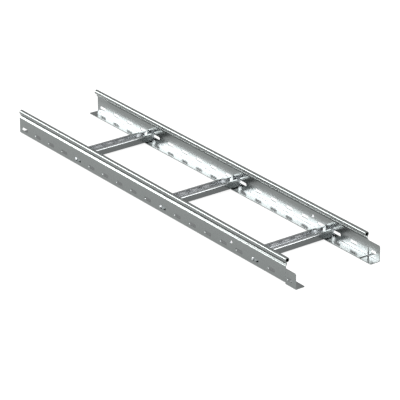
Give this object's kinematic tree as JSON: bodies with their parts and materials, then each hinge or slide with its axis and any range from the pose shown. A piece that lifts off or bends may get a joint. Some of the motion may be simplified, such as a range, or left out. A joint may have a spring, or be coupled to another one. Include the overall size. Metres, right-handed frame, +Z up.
{
  "type": "cable ladder section",
  "caption": "Cable ladder section: two perforated side rails with rolled beads and splice tabs, joined by slotted C-profile rungs.",
  "frame": {"origin": "bottom centre of the whole ladder, level with the underside of the splice tabs", "axes": "+X along the ladder from its plain end to its splice tabs, +Y across it from the front rail to the rear rail, +Z up out of the open side of the rungs"},
  "size_m": [0.945, 0.2062, 0.0531],
  "materials": {
    "rail_zinc": "galvanised sheet, satin",
    "rung_zinc": "galvanised sheet, satin"
  },
  "bodies": {
    "root": {"side_rail_front": "rail_zinc", "side_rail_rear": "rail_zinc", "rung_1": "rung_zinc", "rung_2": "rung_zinc", "rung_3": "rung_zinc"}
  },
  "joints": []
}
